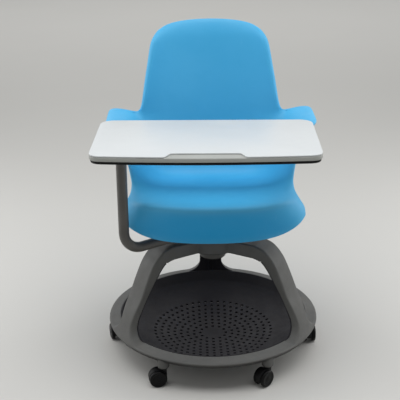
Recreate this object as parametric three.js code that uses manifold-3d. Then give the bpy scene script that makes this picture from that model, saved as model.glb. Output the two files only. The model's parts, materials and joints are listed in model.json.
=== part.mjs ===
// Student desk chair: a one-piece seat shell on a swivel, a swinging arm that carries a
// worksurface, and a three-legged base on a ring with a storage tray and six twin-wheel casters.
// Millimetres, +Z up, and the chair faces -Y. Everything is drawn with the swivel axis on Z and the
// floor at FLOOR. The whole chair is then moved so that the origin is on the floor, under the middle
// of its box.

import * as THREE from 'three';
import { mergeVertices } from 'three/addons/utils/BufferGeometryUtils.js';
import Module from 'manifold-3d';

const wasm = await Module();
wasm.setup();

// ---------------------------------------------------------------- driving dimensions

const GAP = 0.3;                    // clearance between pieces that touch
const FLOOR = 7;                    // the floor's height while the chair is drawn

const RING_OUTER = 281;             // base ring, seen from above
const RING_INNER = 251.5;
const RING_TOP = 98;                // height of the ring's inner edge
const RING_SKIRT = 79;              // height of the ring's lower edge
const LEG_WIDTH = 65;
const LEG_ANGLES = { front_left: 210, front_right: 330, rear: 90 };
const LINER_WIDTH = 63;
const LINER_THICKNESS = 3.3;
const HUB_TOP = 328;
const HUB_BOTTOM = 293;
const HUB_RADIUS = 69;
const HUB_EDGE = 4;                 // bevel of the hub and of the legs
const HUB_BORE = 20.3;
const TRAY_SCREW_CIRCLE = 256.5;

const TRAY_CENTRE = 26;             // height of the tray's upper face on the axis
const TRAY_RISE = [3.9e-4, 6.3e-9]; // it rises by these times the radius squared and to the fourth
const TRAY_FLOOR_RADIUS = 241;
const TRAY_WALL = 3;

const CASTER_CIRCLE = 264;          // radius of the circle of caster stems
const WHEEL_RADIUS = 22.5;
const AXLE_HEIGHT = FLOOR + WHEEL_RADIUS;
const CASTER_TRAIL = 15;            // from the swivel axis to the axle
const SOCKET_RADIUS = 15;
const SOCKET_BOTTOM = 57.6;
const STEM_RADIUS = 4.5;
const STEM_FOOT = 42;
const WEB_HALF = 6.6;               // half the width of the hood between the wheels
const WHEEL_WIDTH = 10.1;
const WHEEL_CAP = 3;                // thickness of the wheel's closed outer face
const AXLE_RADIUS = 3.9;
const AXLE_BORE = 4.3;

const SPINDLE_RADIUS = 14;
const NECK_RADIUS = 22;             // seat carrier's neck, which the arm's collar turns on
const ARM_HEIGHT = 345;             // centre line of the arm's level run
const ARM_REACH = 271;              // from the swivel axis to the post
const ARM_ANGLE = 214.6;            // direction of the arm, from +X
const ARM_RADIUS = 13;
const ARM_BEND = 50;
const POST_TOP = 598;

const SHELL_THICKNESS = 5.5;
const CARRIER_TILT = -0.1636;       // the seat's slope, radians about X
const CARRIER_HEIGHT = 433;         // top of the carrier plate on the swivel axis
const SEAT_SCREWS = [[-78, -62], [78, -62], [-78, 62], [78, 62]];

const WORK_WIDTH = 537;             // worksurface, across the chair
const WORK_DEPTH = 293;
const WORK_BOW = 9;                 // the front edge bows forward by this much
const WORK_CORNER = 33;
const WORK_CENTRE = [-18, -134];
const WORK_TURN = -1.6;             // degrees that it stands off square
const WORK_TOP = 634;
const BOARD_THICKNESS = 3;
const RIM_BOTTOM = -14.2;           // heights below the worksurface's top
const UNDERPLATE_BOTTOM = -21.3;
const UNDERPLATE_INSET = 3;
const BRACKET_CUP_BOTTOM = -33;
const PIN_RADIUS = 8.1;
const PIN_BORE = 8.6;

// ---------------------------------------------------------------- helpers

const radians = THREE.MathUtils.degToRad;
const UP = new THREE.Vector3(0, 0, 1);

function toSolid(geometry) {
  const bare = geometry.clone();
  bare.deleteAttribute('normal');
  bare.deleteAttribute('uv');
  const merged = mergeVertices(bare, 1e-4);
  const mesh = new wasm.Mesh({
    numProp: 3,
    vertProperties: new Float32Array(merged.attributes.position.array),
    triVerts: new Uint32Array(merged.index.array),
  });
  return new wasm.Manifold(mesh);
}

function toGeometry(solid) {
  const mesh = solid.getMesh();
  const geometry = new THREE.BufferGeometry();
  geometry.setAttribute('position', new THREE.BufferAttribute(mesh.vertProperties, 3));
  geometry.setIndex(new THREE.BufferAttribute(mesh.triVerts, 1));
  geometry.computeVertexNormals();
  return geometry;
}

function join(...geometries) {
  return toGeometry(geometries.map(toSolid).reduce((whole, piece) => whole.add(piece)));
}

function cut(body, ...tools) {
  return toGeometry(tools.map(toSolid).reduce((whole, tool) => whole.subtract(tool), toSolid(body)));
}

// A solid of revolution about Z from [radius, height] points, listed upwards on the outside.
function turned(points, segments = 20) {
  const profile = points.map(([radius, height]) => new THREE.Vector2(radius, height));
  return new THREE.LatheGeometry(profile, segments).rotateX(Math.PI / 2);
}

function rod(radius, bottom, top, segments = 16) {
  return turned([[0, bottom], [radius, bottom], [radius, top], [0, top]], segments);
}

function tube(inner, outer, bottom, top, segments = 20) {
  const points = [[inner, bottom], [outer, bottom], [outer, top], [inner, top], [inner, bottom]];
  return turned(points, segments);
}

function roundedRectangle(width, depth, corner) {
  const x = width / 2;
  const y = depth / 2;
  const shape = new THREE.Shape();
  shape.moveTo(-x + corner, -y);
  shape.lineTo(x - corner, -y);
  shape.absarc(x - corner, -y + corner, corner, -Math.PI / 2, 0, false);
  shape.absarc(x - corner, y - corner, corner, 0, Math.PI / 2, false);
  shape.absarc(-x + corner, y - corner, corner, Math.PI / 2, Math.PI, false);
  shape.absarc(-x + corner, -y + corner, corner, Math.PI, 1.5 * Math.PI, false);
  return shape;
}

// A flat plate between two heights, with its edges rounded by a bevel.
function plate(shape, bottom, top, bevel = 0, curveSegments = 5) {
  const geometry = new THREE.ExtrudeGeometry(shape, {
    depth: top - bottom - 2 * bevel,
    bevelEnabled: bevel > 0,
    bevelThickness: bevel,
    bevelSize: bevel,
    bevelOffset: -bevel,
    bevelSegments: 1,
    curveSegments,
  });
  return geometry.translate(0, 0, bottom + bevel);
}

// An upright outline in [radius, height], spread sideways to a width and turned about Z.
function upright(outline, width, angle, bevel = 0) {
  const shape = new THREE.Shape(outline.map(([radius, height]) => new THREE.Vector2(radius, height)));
  const solid = plate(shape, -width / 2, width / 2, bevel);
  return solid.rotateX(Math.PI / 2).rotateZ(radians(angle));
}

function smooth(points, count) {
  const line = points.map(([radius, height]) => new THREE.Vector2(radius, height));
  return new THREE.SplineCurve(line).getPoints(count).map((point) => [point.x, point.y]);
}

function screw(headRadius, headHeight, shankRadius, length) {
  return turned([
    [0, -headHeight], [headRadius * 0.8, -headHeight], [headRadius, 0], [shankRadius, 0],
    [shankRadius, length], [0, length],
  ], 10);
}

const chair = new THREE.Group();
chair.name = 'student_desk_chair';

function finish(color, roughness, metalness = 0) {
  return new THREE.MeshStandardMaterial({ color, roughness, metalness });
}

const finishes = {
  seatPlastic: () => finish('#4aa8dc', 0.5),
  greyPlastic: () => finish('#6c7274', 0.55),
  darkPlastic: () => finish('#35343a', 0.6),
  blackPlastic: () => finish('#1c1c1e', 0.5),
  wheelRubber: () => finish('#19191b', 0.65),
  steel: () => finish('#a9adb0', 0.35, 0.9),
  bearing: () => finish('#e6e2d6', 0.5),
  armPaint: () => finish('#55524e', 0.45, 0.2),
  boardWhite: () => finish('#e4e9eb', 0.35),
  rimGrey: () => finish('#a3a5a1', 0.5),
};

function add(name, geometry, material, parent = chair) {
  const mesh = new THREE.Mesh(geometry, material());
  mesh.name = name;
  parent.add(mesh);
  return mesh;
}

// ---------------------------------------------------------------- base

// The side view of a leg. Both lines run from the hub to the foot.
const LEG_OUTSIDE = [[140, 328], [168, 318], [195, 290], [216, 249], [236, 202], [255, 166], [266, 138],
  [274, 112], [281, 92]];
const LEG_INSIDE = [[138, 291], [155, 287.5], [169, 276.5], [191, 245], [216, 203.5], [240, 153.6],
  [247, 130], [251.5, 98]];

const LINER_FOOT = [249.6, 107];

// Moves a line sideways, towards the outside of the leg.
function offsetLine(line, distance) {
  return line.map(([radius, height], index) => {
    const [fromRadius, fromHeight] = line[Math.max(index - 1, 0)];
    const [toRadius, toHeight] = line[Math.min(index + 1, line.length - 1)];
    const along = new THREE.Vector2(toRadius - fromRadius, toHeight - fromHeight).normalize();
    return [radius - along.y * distance, height + along.x * distance];
  });
}

function buildBaseFrame() {
  const outside = smooth(LEG_OUTSIDE, 14);
  const inside = smooth(LEG_INSIDE, 10);
  const legOutline = [[0, HUB_BOTTOM], [HUB_RADIUS, HUB_BOTTOM], ...inside,
    [256, 90], [276, 88], ...outside.reverse(), [0, HUB_TOP]];
  const ring = turned([
    [RING_INNER, RING_TOP - 6], [274, 88], [278, 85], [278, RING_SKIRT], [282, RING_SKIRT],
    [282.5, 87], [RING_OUTER, 91.5], [277, 94], [RING_INNER, RING_TOP], [RING_INNER, RING_TOP - 6],
  ], 48);
  const rim = HUB_RADIUS + HUB_EDGE;
  const hub = turned([[0, HUB_BOTTOM], [HUB_RADIUS, HUB_BOTTOM], [rim, HUB_BOTTOM + HUB_EDGE],
    [rim, HUB_TOP - HUB_EDGE], [HUB_RADIUS, HUB_TOP], [0, HUB_TOP]], 24);
  const socket = turned([[0, SOCKET_BOTTOM], [SOCKET_RADIUS, SOCKET_BOTTOM],
    [SOCKET_RADIUS + 0.5, RING_SKIRT], [12, 84], [12, 91.5], [0, 91.5]], 14);

  let frame = toSolid(ring).add(toSolid(hub));
  for (const angle of Object.values(LEG_ANGLES)) {
    frame = frame.add(toSolid(upright(legOutline, LEG_WIDTH, angle, HUB_EDGE)));
  }
  for (const { x, y } of casterPlaces()) {
    frame = frame.add(toSolid(socket.clone().translate(x, y, 0)));
  }
  const channel = linerOutline(-4, LINER_THICKNESS + GAP);
  for (const angle of Object.values(LEG_ANGLES)) {
    frame = frame.subtract(toSolid(upright(channel, LEG_WIDTH + 4, angle)));
    const pilot = rod(1.7, 80, 104, 10).translate(TRAY_SCREW_CIRCLE, 0, 0).rotateZ(radians(angle));
    frame = frame.subtract(toSolid(pilot));
  }
  for (const { x, y } of casterPlaces()) {
    frame = frame.subtract(toSolid(rod(STEM_RADIUS + GAP, SOCKET_BOTTOM - 1, 85, 12).translate(x, y, 0)));
  }
  frame = frame.subtract(toSolid(rod(HUB_BORE, HUB_BOTTOM - 1, HUB_TOP + 1, 20)));
  return toGeometry(frame);
}

// The strip that lines a leg's inner face, between two distances from that face. It stops
// above the tray's rim.
function linerOutline(near, far) {
  const line = smooth([...LEG_INSIDE.slice(1, -1), LINER_FOOT], 8);
  return [...offsetLine(line, near), ...offsetLine(line, far).reverse()];
}

function buildLiner(angle) {
  const strip = upright(linerOutline(0, LINER_THICKNESS), LINER_WIDTH, angle, 1);
  const rib = (side) => {
    const outline = linerOutline(-2.5, 2);
    return upright(outline, 2, 0).translate(0, side, 0).rotateZ(radians(angle));
  };
  return join(strip, rib(-7), rib(7));
}

function trayHeight(radius) {
  return TRAY_CENTRE + TRAY_RISE[0] * radius ** 2 + TRAY_RISE[1] * radius ** 4;
}

function buildTray() {
  const floor = [0, 70, 125, 170, 207, TRAY_FLOOR_RADIUS - 4];
  const upper = floor.map((radius) => [radius, trayHeight(radius)]);
  const lower = floor.map((radius) => [radius, trayHeight(radius) - TRAY_WALL]);
  const edge = TRAY_FLOOR_RADIUS;
  const bowl = turned([
    ...lower, [edge + 2.5, trayHeight(edge) - 1.5], [RING_INNER - 3, 87.5], [262, 84.5], [262, 87.5],
    [RING_INNER - GAP, 91], [RING_INNER - GAP, RING_TOP], [RING_INNER - 3, RING_TOP],
    [edge - 1.2, trayHeight(edge) + 1.2], ...upper.reverse(),
  ], 48);
  let tray = toSolid(bowl);
  for (const { x, y } of casterPlaces()) {
    tray = tray.subtract(toSolid(rod(12.6, 50, 120, 14).translate(x, y, 0)));
  }
  for (const angle of Object.values(LEG_ANGLES)) {
    const hole = rod(2.4, 60, 96, 10).translate(TRAY_SCREW_CIRCLE, 0, 0).rotateZ(radians(angle));
    tray = tray.subtract(toSolid(hole));
  }
  return toGeometry(tray);
}

function addBase() {
  add('base_frame', buildBaseFrame(), finishes.greyPlastic);
  add('storage_tray', buildTray(), finishes.darkPlastic);
  for (const [place, angle] of Object.entries(LEG_ANGLES)) {
    add(`leg_liner_${place}`, buildLiner(angle), finishes.darkPlastic);
    const fastener = add(`tray_screw_${place}`, screw(4, 2.5, 1.4, 12), finishes.steel);
    fastener.position.set(TRAY_SCREW_CIRCLE, 0, 83.5).applyAxisAngle(UP, radians(angle));
  }
  add('hub_bush_upper', turned([[14.3, 312], [20, 312], [20, HUB_TOP + GAP], [31, HUB_TOP + GAP],
    [31, HUB_TOP + 2.4], [14.3, HUB_TOP + 2.4], [14.3, 312]]), finishes.bearing);
  add('hub_bush_lower', turned([[14.3, 289.5], [26, 289.5], [26, HUB_BOTTOM - GAP], [20, HUB_BOTTOM - GAP],
    [20, 307], [14.3, 307], [14.3, 289.5]]), finishes.bearing);
  add('hub_cap', turned([[0, 261.5], [31.5, 261.5], [35, 265], [35, HUB_BOTTOM - GAP],
    [32, HUB_BOTTOM - GAP], [32, 265.5], [0, 265.5]]), finishes.greyPlastic);
}

// ---------------------------------------------------------------- casters

function casterPlaces() {
  const names = ['right', 'rear_right', 'rear_left', 'left', 'front_left', 'front_right'];
  const trails = [270, 150, 35, 105, 192, 225];   // rest direction of each caster's trail, degrees
  return names.map((name, index) => {
    const { x, y } = new THREE.Vector3(CASTER_CIRCLE, 0, 0).applyAxisAngle(UP, radians(60 * index));
    return { name, trail: trails[index], x, y };
  });
}

// The hood is drawn with its swivel axis on Z and its axle along Y, trailing towards +X.
function buildHood() {
  const radius = WHEEL_RADIUS + 0.6;
  const disc = new THREE.CylinderGeometry(radius, radius, 2 * WEB_HALF, 18);
  disc.translate(CASTER_TRAIL, 0, AXLE_HEIGHT);
  const below = new THREE.BoxGeometry(70, 30, 30).translate(CASTER_TRAIL, 0, 8);
  const neck = turned([[0, 52.4], [10.5, 52.4], [10.5, 54.5], [8.5, 56.8], [0, 56.8]], 12);
  const fork = new THREE.BoxGeometry(20, 2 * WEB_HALF, 18).translate(2, 0, 44.5);
  const body = join(cut(disc, below), neck, fork);
  const axleHole = new THREE.CylinderGeometry(AXLE_BORE, AXLE_BORE, 20, 10);
  axleHole.translate(CASTER_TRAIL, 0, AXLE_HEIGHT);
  return cut(body, axleHole, rod(STEM_RADIUS + GAP, STEM_FOOT - 1, 60, 12));
}

// The wheel's axle hole is blind: its outer face is closed.
function buildWheel(side) {
  const inner = WEB_HALF + GAP;
  const outer = inner + WHEEL_WIDTH;
  const wheel = turned([
    [0, outer - WHEEL_CAP], [AXLE_BORE, outer - WHEEL_CAP], [AXLE_BORE, inner], [WHEEL_RADIUS - 1, inner],
    [WHEEL_RADIUS, inner + 1.5], [WHEEL_RADIUS, outer - 3], [WHEEL_RADIUS - 2.5, outer], [0, outer],
  ], 14);
  return wheel.rotateX((-side * Math.PI) / 2);
}

function addCasters() {
  for (const { name, trail, x, y } of casterPlaces()) {
    const place = new THREE.Group();
    place.position.set(x, y, 0);
    chair.add(place);
    add(`caster_${name}_stem`, rod(STEM_RADIUS, STEM_FOOT, 84, 12), finishes.steel, place);
    const swivel = new THREE.Group();
    swivel.rotation.z = radians(trail);
    place.add(swivel);
    add(`caster_${name}_hood`, buildHood(), finishes.blackPlastic, swivel);
    const axleLength = 2 * (WEB_HALF + WHEEL_WIDTH - WHEEL_CAP - GAP);
    const axle = new THREE.CylinderGeometry(AXLE_RADIUS, AXLE_RADIUS, axleLength, 10);
    add(`caster_${name}_axle`, axle, finishes.steel, swivel).position.set(CASTER_TRAIL, 0, AXLE_HEIGHT);
    for (const [label, side] of [['a', 1], ['b', -1]]) {
      const wheel = add(`caster_${name}_wheel_${label}`, buildWheel(side), finishes.wheelRubber, swivel);
      wheel.position.set(CASTER_TRAIL, 0, AXLE_HEIGHT);
    }
  }
}

// ---------------------------------------------------------------- seat

// Control points of the seat's upper face, right half. Each row runs from the centre line to
// the free edge. The rows go from the front lip, over the seat and the two side wings, to the
// top of the back.
const SHELL_ROWS = [
  [[0, -158, 363], [70, -156, 364], [131, -150, 369], [176, -142, 380], [206, -134, 396],
    [223, -121, 407], [232, -104, 416]],
  [[0, -177, 404], [70, -175, 405], [132, -167, 408], [178, -152, 414], [206, -134, 421],
    [224, -115, 428], [233, -93, 432]],
  [[0, -194, 449], [70, -192, 450], [131, -181, 451], [175, -158, 453], [201, -134, 451],
    [216, -108, 447], [225, -84, 442]],
  [[0, -195, 470], [70, -193, 470], [129, -181, 471], [171, -157, 471], [195, -132, 468],
    [210, -105, 462], [218, -78, 453]],
  [[0, -171, 472], [68, -169, 472], [126, -158, 473], [165, -137, 473], [189, -113, 471],
    [203, -88, 468], [210, -62, 462]],
  [[0, -112, 469], [66, -110, 469], [123, -101, 470], [162, -86, 471], [186, -70, 472],
    [199, -53, 473], [207, -36, 472]],
  [[0, -28, 456], [66, -28, 456], [121, -24, 459], [159, -18, 464], [184, -13, 473],
    [198, -8, 482], [207, -5, 489]],
  [[0, 52, 442], [66, 52, 442], [120, 52, 445], [158, 50, 455], [186, 42, 475],
    [203, 36, 497], [215, 28, 517]],
  [[0, 112, 434], [68, 112, 434], [122, 108, 439], [160, 96, 457], [191, 78, 491],
    [214, 60, 532], [236, 50, 566]],
  [[0, 148, 444], [70, 146, 444], [124, 138, 450], [162, 120, 475], [194, 96, 522],
    [222, 74, 574], [262, 54, 606]],
  [[0, 166, 478], [72, 163, 478], [126, 152, 484], [163, 134, 508], [194, 114, 552],
    [226, 90, 600], [275, 66, 612]],
  [[0, 178, 524], [74, 174, 524], [128, 162, 528], [167, 147, 546], [198, 132, 580],
    [226, 121, 609], [275, 112, 613]],
  [[0, 187, 564], [75, 182, 564], [130, 170, 566], [169, 156, 577], [198, 147, 597],
    [228, 150, 612], [275, 158, 615]],
  [[0, 193, 592], [76, 188, 592], [132, 176, 592], [170, 163, 595], [193, 158, 603],
    [225, 172, 615], [274, 196, 617]],
  [[0, 196, 606], [76, 191, 606], [133, 179, 606], [171, 167, 607], [189, 161, 609],
    [213, 175, 615], [252, 200, 617]],
  [[0, 198, 616], [76, 193, 616], [133, 181, 616], [169, 169, 615], [185, 164, 614],
    [198, 169, 614], [218, 182, 615]],
  [[0, 200, 626], [76, 195, 626], [132, 183, 626], [167, 171, 624], [181, 166, 620],
    [189, 166, 616], [197, 169, 613]],
  [[0, 203, 640], [76, 198, 640], [131, 186, 639], [164, 174, 637], [177, 169, 634],
    [184, 169, 630], [188, 172, 624]],
  [[0, 207, 660], [75, 202, 660], [129, 190, 659], [160, 178, 658], [172, 172, 657],
    [179, 173, 655], [183, 179, 653]],
  [[0, 216, 700], [72, 211, 700], [125, 199, 699], [154, 187, 698], [166, 182, 697],
    [173, 183, 696], [177, 190, 695]],
  [[0, 226, 746], [69, 222, 746], [119, 211, 746], [145, 200, 745], [157, 195, 744],
    [164, 196, 743], [168, 203, 742]],
  [[0, 237, 792], [66, 233, 792], [112, 224, 791], [138, 213, 789], [151, 208, 787],
    [158, 209, 785], [162, 216, 783]],
  [[0, 245, 826], [62, 242, 826], [103, 235, 824], [128, 226, 818], [142, 221, 813],
    [150, 221, 809], [155, 228, 806]],
  [[0, 259, 848], [52, 257, 846], [86, 253, 842], [110, 248, 837], [124, 244, 831],
    [133, 242, 826], [139, 245, 821]],
];

// Weights of a clamped cubic B-spline with a given number of control points, at 0 to 1.
function splineWeights(count, at) {
  const spans = count - 3;
  const knot = (index) => Math.min(Math.max(index - 3, 0), spans) / spans;
  const place = Math.min(at, 1 - 1e-9);
  const within = (i) => knot(i) <= place && place < knot(i + 1);
  let weights = Array.from({ length: count + 3 }, (_, i) => (within(i) ? 1 : 0));
  for (let degree = 1; degree <= 3; degree += 1) {
    weights = weights.slice(0, -1).map((weight, i) => {
      const rise = knot(i + degree) - knot(i);
      const fall = knot(i + degree + 1) - knot(i + 1);
      const left = rise > 0 ? ((place - knot(i)) / rise) * weight : 0;
      const right = fall > 0 ? ((knot(i + degree + 1) - place) / fall) * weights[i + 1] : 0;
      return left + right;
    });
  }
  return weights;
}

const SHELL_NET = SHELL_ROWS.map((row) => [
  ...row.slice(1).reverse().map(([x, y, z]) => [-x, y, z]),
  ...row,
]);

function shellPoint(along, across) {
  const rowWeights = splineWeights(SHELL_NET.length, along);
  const columnWeights = splineWeights(SHELL_NET[0].length, across);
  const point = new THREE.Vector3();
  SHELL_NET.forEach((row, i) => {
    if (rowWeights[i] > 0) {
      row.forEach(([x, y, z], j) => {
        point.addScaledVector(new THREE.Vector3(x, y, z), rowWeights[i] * columnWeights[j]);
      });
    }
  });
  return point;
}

function shellNormal(along, across) {
  const step = 0.002;
  const alongStep = shellPoint(Math.min(along + step, 1), across)
    .sub(shellPoint(Math.max(along - step, 0), across));
  const acrossStep = shellPoint(along, Math.min(across + step, 1))
    .sub(shellPoint(along, Math.max(across - step, 0)));
  return acrossStep.cross(alongStep).normalize();
}

function shellSheet(rows, columns) {
  const upper = [];
  const lower = [];
  for (let i = 0; i <= rows; i += 1) {
    for (let j = 0; j <= columns; j += 1) {
      const point = shellPoint(i / rows, j / columns);
      upper.push(point);
      lower.push(point.clone().addScaledVector(shellNormal(i / rows, j / columns), -SHELL_THICKNESS));
    }
  }
  const triangles = [];
  const at = (i, j) => i * (columns + 1) + j;
  const below = upper.length;
  const quad = (a, b, c, d) => triangles.push(a, b, c, a, c, d);
  for (let i = 0; i < rows; i += 1) {
    for (let j = 0; j < columns; j += 1) {
      quad(at(i, j), at(i, j + 1), at(i + 1, j + 1), at(i + 1, j));
      quad(below + at(i, j), below + at(i + 1, j), below + at(i + 1, j + 1), below + at(i, j + 1));
    }
    quad(at(i, 0), at(i + 1, 0), below + at(i + 1, 0), below + at(i, 0));
    quad(at(i + 1, columns), at(i, columns), below + at(i, columns), below + at(i + 1, columns));
  }
  for (let j = 0; j < columns; j += 1) {
    quad(at(0, j + 1), at(0, j), below + at(0, j), below + at(0, j + 1));
    quad(at(rows, j), at(rows, j + 1), below + at(rows, j + 1), below + at(rows, j));
  }
  const geometry = new THREE.BufferGeometry();
  const corners = [...upper, ...lower].flatMap((point) => point.toArray());
  geometry.setAttribute('position', new THREE.Float32BufferAttribute(corners, 3));
  geometry.setIndex(triangles);
  return geometry;
}

// Puts a geometry drawn on the carrier's sloping top plate into the chair's frame.
function onSeatSlope(geometry) {
  return geometry.rotateX(CARRIER_TILT).translate(0, 0, CARRIER_HEIGHT);
}

function buildShell() {
  let shell = toSolid(shellSheet(32, 18));
  for (const [x, y] of SEAT_SCREWS) {
    const boss = onSeatSlope(rod(10, GAP, 14, 8).translate(x, y, 0));
    shell = shell.add(toSolid(boss));
  }
  for (const [x, y] of SEAT_SCREWS) {
    shell = shell.subtract(toSolid(onSeatSlope(rod(3.3, 0, 11.5, 8).translate(x, y, 0))));
  }
  return toGeometry(shell);
}

function buildCarrier() {
  const pan = plate(roundedRectangle(212, 184, 30), -20, 0, 3, 4);
  const hollow = plate(roundedRectangle(200, 172, 24), -24, -6, 0, 4);
  const cone = turned([[0, 331], [NECK_RADIUS, 331], [NECK_RADIUS, 361.8], [40, 361.8], [46, 372],
    [62, 412], [62, 450], [0, 450]], 20);
  const above = new THREE.BoxGeometry(300, 300, 60).translate(0, 0, 30 - 3);
  const bore = rod(SPINDLE_RADIUS + GAP, 330, 405, 20);
  let carrier = toSolid(onSeatSlope(cut(pan, hollow)));
  carrier = carrier.add(toSolid(cut(cone, onSeatSlope(above))));
  carrier = carrier.subtract(toSolid(bore));
  for (const [x, y] of SEAT_SCREWS) {
    carrier = carrier.subtract(toSolid(onSeatSlope(rod(3.5, -30, 2, 8).translate(x, y, 0))));
  }
  return toGeometry(carrier);
}

function addSeat() {
  add('seat_shell', buildShell(), finishes.seatPlastic);
  add('seat_carrier', buildCarrier(), finishes.blackPlastic);
  add('swivel_spindle', turned([[0, 270], [SPINDLE_RADIUS - 1, 270], [SPINDLE_RADIUS, 271],
    [SPINDLE_RADIUS, 283.7], [12, 283.7], [12, 286.9], [SPINDLE_RADIUS, 286.9], [SPINDLE_RADIUS, 404.7],
    [0, 404.7]]), finishes.steel);
  add('spindle_clip', tube(12.3, 19, 284, 286.6), finishes.steel);
  add('arm_friction_washer', tube(NECK_RADIUS + GAP, 38, 358.8, 361.3), finishes.bearing);
  SEAT_SCREWS.forEach(([x, y], index) => {
    const fastener = add(`seat_screw_${index + 1}`, screw(6, 4, 3, 16.5), finishes.steel);
    const foot = new THREE.Vector3(x, y, -6 - GAP).applyAxisAngle(new THREE.Vector3(1, 0, 0), CARRIER_TILT);
    fastener.position.copy(foot).add(new THREE.Vector3(0, 0, CARRIER_HEIGHT));
    fastener.rotation.x = CARRIER_TILT;
  });
}

// ---------------------------------------------------------------- arm

const POST = new THREE.Vector2(
  ARM_REACH * Math.cos(radians(ARM_ANGLE)),
  ARM_REACH * Math.sin(radians(ARM_ANGLE)),
);

// The arm's centre line: a level run, a quarter bend and the post.
function armPath(start, top) {
  const path = new THREE.CurvePath();
  const at = (reach, height) => new THREE.Vector3(reach, 0, height);
  const bendStart = at(ARM_REACH - ARM_BEND, ARM_HEIGHT);
  const bendEnd = at(ARM_REACH, ARM_HEIGHT + ARM_BEND);
  const arc = new THREE.Curve();
  arc.getPoint = (t) => at(
    ARM_REACH - ARM_BEND + ARM_BEND * Math.sin((t * Math.PI) / 2),
    ARM_HEIGHT + ARM_BEND - ARM_BEND * Math.cos((t * Math.PI) / 2),
  );
  path.add(new THREE.LineCurve3(at(start, ARM_HEIGHT), bendStart));
  path.add(arc);
  path.add(new THREE.LineCurve3(bendEnd, at(ARM_REACH, top)));
  return path;
}

function bentRod(radius, start, top, sides) {
  const section = new THREE.Shape().absarc(0, 0, radius, 0, 2 * Math.PI);
  const bar = new THREE.ExtrudeGeometry(section, {
    steps: 22,
    extrudePath: armPath(start, top),
    curveSegments: sides,
  });
  return bar.rotateZ(radians(ARM_ANGLE));
}

function addArm() {
  const collar = tube(NECK_RADIUS + 0.4, 38, ARM_HEIGHT - ARM_RADIUS, ARM_HEIGHT + ARM_RADIUS, 24);
  const arm = cut(join(collar, bentRod(ARM_RADIUS, 30, POST_TOP, 6)), bentRod(11, 45, POST_TOP + 5, 4));
  add('arm', arm, finishes.armPaint);
  const sleeve = turned([[8.5, 556], [9.7, 556], [9.7, POST_TOP + GAP], [ARM_RADIUS, POST_TOP + GAP],
    [ARM_RADIUS, POST_TOP + 2.3], [8.5, POST_TOP + 2.3], [8.5, 556]], 16);
  add('post_sleeve', sleeve, finishes.bearing).position.set(POST.x, POST.y, 0);
}

// ---------------------------------------------------------------- worksurface

function boardOutline(inset, withGrip) {
  const x = WORK_WIDTH / 2 - inset;
  const y = WORK_DEPTH / 2 - inset;
  const corner = WORK_CORNER - inset;
  const shape = new THREE.Shape();
  shape.moveTo(-x + corner, -y);
  if (withGrip) {
    const bow = WORK_BOW - 1.2;
    shape.quadraticCurveTo(-150, -y - bow * 0.85, -97, -y - bow);
    shape.lineTo(-90, -y - bow + 2);
    shape.lineTo(-72, -y - bow + 23);
    shape.quadraticCurveTo(-69, -y - bow + 27, -63, -y - bow + 27);
    shape.lineTo(63, -y - bow + 27);
    shape.quadraticCurveTo(69, -y - bow + 27, 72, -y - bow + 23);
    shape.lineTo(90, -y - bow + 2);
    shape.lineTo(97, -y - bow);
    shape.quadraticCurveTo(150, -y - bow * 0.85, x - corner, -y);
  } else {
    shape.quadraticCurveTo(0, -y - 2 * WORK_BOW, x - corner, -y);
  }
  shape.quadraticCurveTo(x, -y + 1, x, -y + corner);
  shape.lineTo(x, y - corner);
  shape.absarc(x - corner, y - corner, corner, 0, Math.PI / 2, false);
  shape.absarc(-x + corner, y - corner, corner, Math.PI / 2, Math.PI, false);
  shape.lineTo(-x, -y + corner);
  shape.quadraticCurveTo(-x, -y + 1, -x + corner, -y);
  return shape;
}

function addWorksurface() {
  const board = new THREE.Group();
  board.position.set(WORK_CENTRE[0], WORK_CENTRE[1], WORK_TOP);
  board.rotation.z = radians(WORK_TURN);
  chair.add(board);
  const top = plate(boardOutline(0.6, true), -BOARD_THICKNESS, 0, 0.8);
  add('worksurface_top', top, finishes.boardWhite, board);
  const rim = plate(boardOutline(0, false), RIM_BOTTOM, -BOARD_THICKNESS - GAP, 1.5);
  add('worksurface_rim', rim, finishes.rimGrey, board);

  // The post's place in the worksurface's own frame.
  const post = POST.clone().sub(new THREE.Vector2(...WORK_CENTRE));
  post.rotateAround(new THREE.Vector2(), -radians(WORK_TURN));
  const pinHole = rod(PIN_BORE, -40, 0, 16).translate(post.x, post.y, 0);
  const under = plate(boardOutline(UNDERPLATE_INSET, false), UNDERPLATE_BOTTOM, RIM_BOTTOM - GAP, 2);
  add('worksurface_underplate', cut(under, pinHole), finishes.blackPlastic, board);

  const footTop = UNDERPLATE_BOTTOM - GAP;
  const foot = plate(roundedRectangle(84, 110, 14), footTop - 4.2, footTop);
  foot.translate(post.x + 14, post.y, 0);
  const cup = rod(19, BRACKET_CUP_BOTTOM, footTop, 16).translate(post.x, post.y, 0);
  const holes = [[48, -42], [48, 42], [-16, 42]].map(([x, y]) => [post.x + x, post.y + y]);
  const drills = holes.map(([x, y]) => rod(2.4, -40, 0, 10).translate(x, y, 0));
  add('pivot_bracket', cut(join(foot, cup), ...drills, pinHole), finishes.blackPlastic, board);
  const pinTop = RIM_BOTTOM - 2 * GAP;
  const pin = turned([[0, -75], [7.4, -75], [PIN_RADIUS, -73], [PIN_RADIUS, pinTop], [0, pinTop]], 16);
  add('pivot_pin', pin, finishes.steel, board).position.set(post.x, post.y, 0);
}

addBase();
addCasters();
addSeat();
addArm();
addWorksurface();

const box = new THREE.Box3().setFromObject(chair, true);
const middle = box.getCenter(new THREE.Vector3());
chair.position.set(-middle.x, -middle.y, -FLOOR);

export default chair;
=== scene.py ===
import json
import math

import bmesh
import bpy
import numpy as np
from mathutils import Matrix, Vector
from mathutils.geometry import delaunay_2d_cdt


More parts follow.
